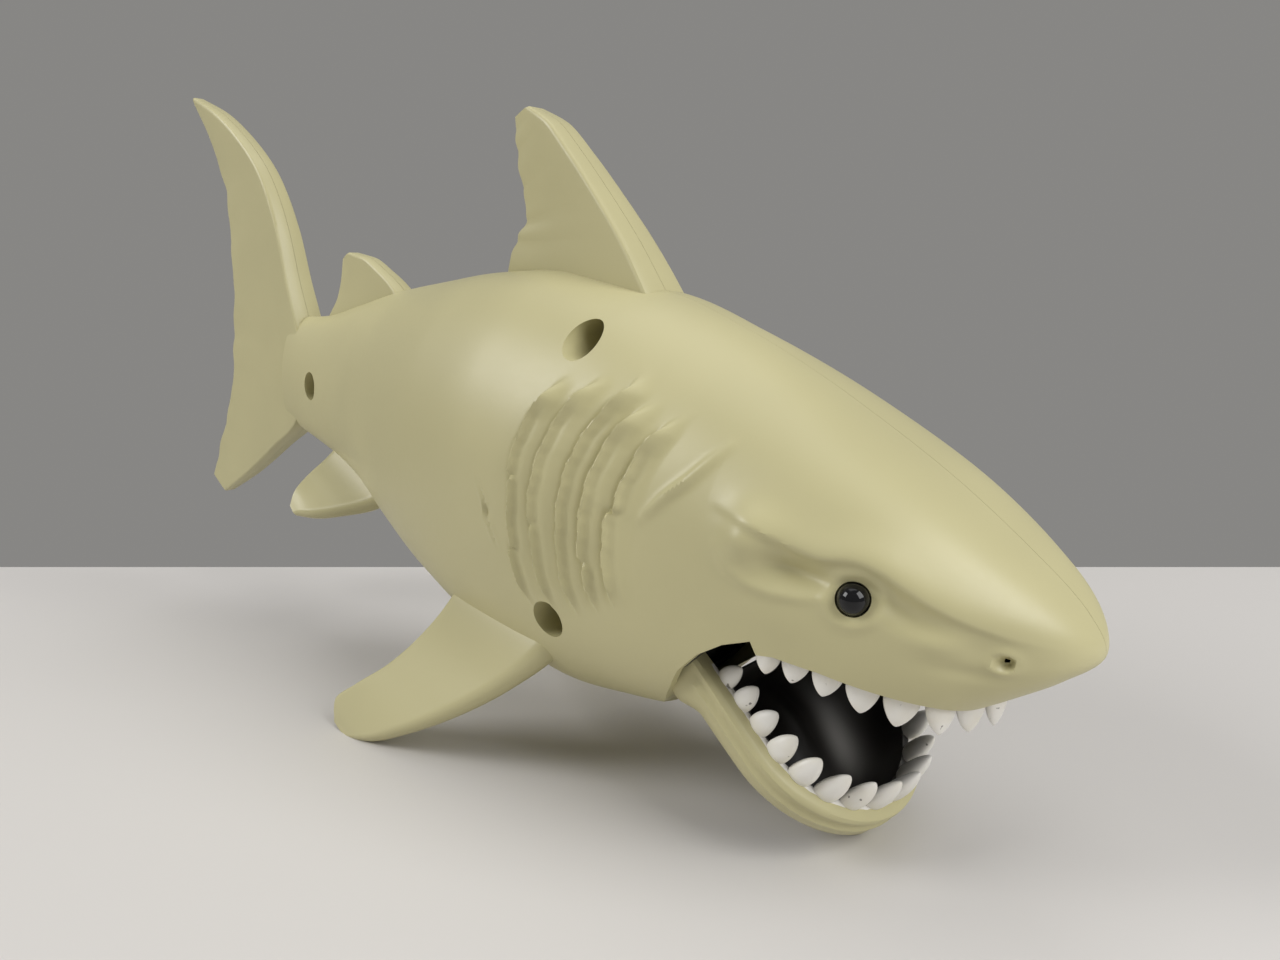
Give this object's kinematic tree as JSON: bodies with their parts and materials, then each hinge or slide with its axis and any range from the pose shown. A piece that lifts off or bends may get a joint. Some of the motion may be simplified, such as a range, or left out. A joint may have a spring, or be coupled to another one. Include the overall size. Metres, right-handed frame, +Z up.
{
  "type": "toy shark",
  "caption": "Moulded plastic toy shark with an open, toothed mouth; its lower jaw swings shut.",
  "frame": {"origin": "centre of the bounding box, on the surface the shark stands on", "axes": "+X from the tail to the snout, +Y to the shark's left, +Z up"},
  "size_m": [0.2918, 0.0816, 0.1652],
  "materials": {
    "shark_plastic": "satin",
    "jaw_plastic": "satin, mouth side painted black, teeth painted white",
    "mouth_black": "satin black, teeth painted white",
    "eye_black": "gloss",
    "screw_steel": "plain"
  },
  "bodies": {
    "body": {"body_shell_right": "shark_plastic", "body_shell_left": "shark_plastic", "mouth_liner": "mouth_black", "eye_right": "eye_black", "eye_left": "eye_black", "screw_tail": "screw_steel", "screw_back": "screw_steel", "screw_flank": "screw_steel"},
    "jaw": {"lower_jaw": "jaw_plastic"}
  },
  "joints": [
    {"name": "jaw_hinge", "type": "hinge", "parent": "body", "child": "jaw", "pos_m": [0.07358, 0, 0.04312], "axis": [0, -1, 0], "range_deg": [0, 25]}
  ]
}
